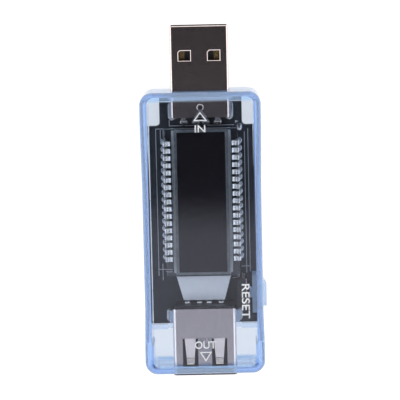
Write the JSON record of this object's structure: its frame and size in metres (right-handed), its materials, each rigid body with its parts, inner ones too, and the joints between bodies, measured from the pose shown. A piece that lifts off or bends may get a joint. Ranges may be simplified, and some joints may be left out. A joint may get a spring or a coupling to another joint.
{
  "type": "usb power meter",
  "caption": "In-line USB meter in a clear case: plug at one end, receptacle at the other, small display between them and a side reset button.",
  "frame": {"origin": "centre of the case's flat back face, on which the meter rests", "axes": "+Z out of the display, +Y towards the tip of the plug, +X towards the reset button"},
  "size_m": [0.0254, 0.0723, 0.012],
  "materials": {
    "clear_blue_plastic": "polished clear plastic with a light blue tint",
    "circuit_laminate": "black solder mask over glass-fibre laminate",
    "plated_steel": "bright nickel-plated sheet steel",
    "gold_contact": "gold-flashed phosphor bronze",
    "tinned_copper": "tin-plated copper alloy",
    "solder": "bright solder",
    "black_plastic": "fine-grained black moulding",
    "display_glass": "polished clear plate glass",
    "polarising_film": "smooth neutral dark film",
    "light_guide_plastic": "clear acrylic",
    "white_film": "white diffusing film",
    "lamp_resin": "clear resin",
    "capacitor_ceramic": "sintered tan ceramic",
    "spring_steel": "spring-tempered stainless sheet"
  },
  "bodies": {
    "meter": {"front_cover": "clear_blue_plastic", "back_cover": "clear_blue_plastic", "circuit_board": "circuit_laminate", "plug_shell": "plated_steel", "plug_insulator": "black_plastic", "receptacle_shell": "plated_steel", "receptacle_insulator": "black_plastic", "lcd_pins_left": "tinned_copper", "lcd_pins_right": "tinned_copper", "lcd_front_glass": "display_glass", "lcd_rear_glass": "display_glass", "lcd_front_polarizer": "polarising_film", "lcd_rear_polarizer": "polarising_film", "backlight_light_guide": "light_guide_plastic", "backlight_reflector": "white_film", "backlight_diffuser": "white_film", "backlight_cover_sheet": "white_film", "backlight_lamp": "lamp_resin", "switch_base": "black_plastic", "switch_cover": "plated_steel", "switch_dome": "spring_steel", "switch_terminals": "tinned_copper", "controller_chip": "black_plastic", "controller_leads": "tinned_copper", "memory_chip": "black_plastic", "memory_leads": "tinned_copper", "regulator_chip": "black_plastic", "regulator_leads": "tinned_copper", "shunt_resistor": "black_plastic", "ceramic_capacitors": "capacitor_ceramic", "chip_resistors": "black_plastic", "display_solder_joints": "solder", "lamp_solder_joints": "solder", "plug_solder_joints": "solder", "receptacle_solder_joints": "solder", "plug_contact_vbus": "gold_contact", "plug_contact_data_minus": "gold_contact", "plug_contact_data_plus": "gold_contact", "plug_contact_ground": "gold_contact", "receptacle_contact_vbus": "gold_contact", "receptacle_contact_data_minus": "gold_contact", "receptacle_contact_data_plus": "gold_contact", "receptacle_contact_ground": "gold_contact"},
    "button": {"reset_button": "clear_blue_plastic"},
    "plunger": {"switch_plunger": "black_plastic"}
  },
  "joints": [
    {"name": "reset_press", "type": "slide", "parent": "meter", "child": "button", "axis": [-1, 0, 0], "range_m": [0, 0.00025], "stiffness_N_per_m": 6000},
    {"name": "switch_press", "type": "slide", "parent": "meter", "child": "plunger", "axis": [-1, 0, 0], "range_m": [0, 0.00025], "deforming": ["switch_dome"]}
  ],
  "couplings": [
    {"joint": "switch_press", "follows": "reset_press", "ratio": 1}
  ]
}
